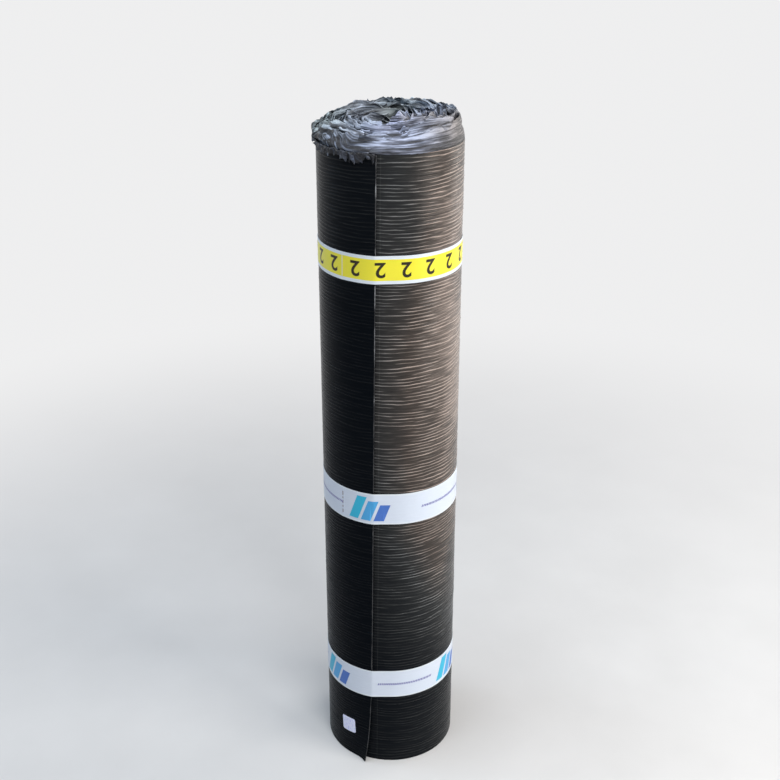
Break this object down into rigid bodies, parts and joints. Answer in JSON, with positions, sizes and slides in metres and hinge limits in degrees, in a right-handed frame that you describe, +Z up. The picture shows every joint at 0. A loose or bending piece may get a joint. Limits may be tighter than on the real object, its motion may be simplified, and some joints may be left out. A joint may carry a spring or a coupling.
{
  "type": "roll of roofing felt",
  "caption": "Roll of film-faced bitumen roofing felt standing on its end, held shut by tapes, with a through hollow along its axis.",
  "frame": {"origin": "middle of the roll's footprint, on the floor that it stands on", "axes": "+Z up along the roll's axis; the lap, the sheet's outer end, faces -Y, with the lap's flap on its -X side"},
  "size_m": [0.2046, 0.2066, 1.0354],
  "materials": {
    "felt": "black bitumen sheet under a glossy, finely rippled film, silvery where the film stands free",
    "yellow_tape": "yellow film tape with a pale border",
    "white_tape": "pale blue-white film tape with fine lines",
    "label_paper": "pale lavender paper, matt"
  },
  "bodies": {
    "root": {"felt_roll": "felt", "top_tape": "yellow_tape", "middle_tape": "white_tape", "bottom_tape": "white_tape", "label": "label_paper"}
  },
  "joints": []
}
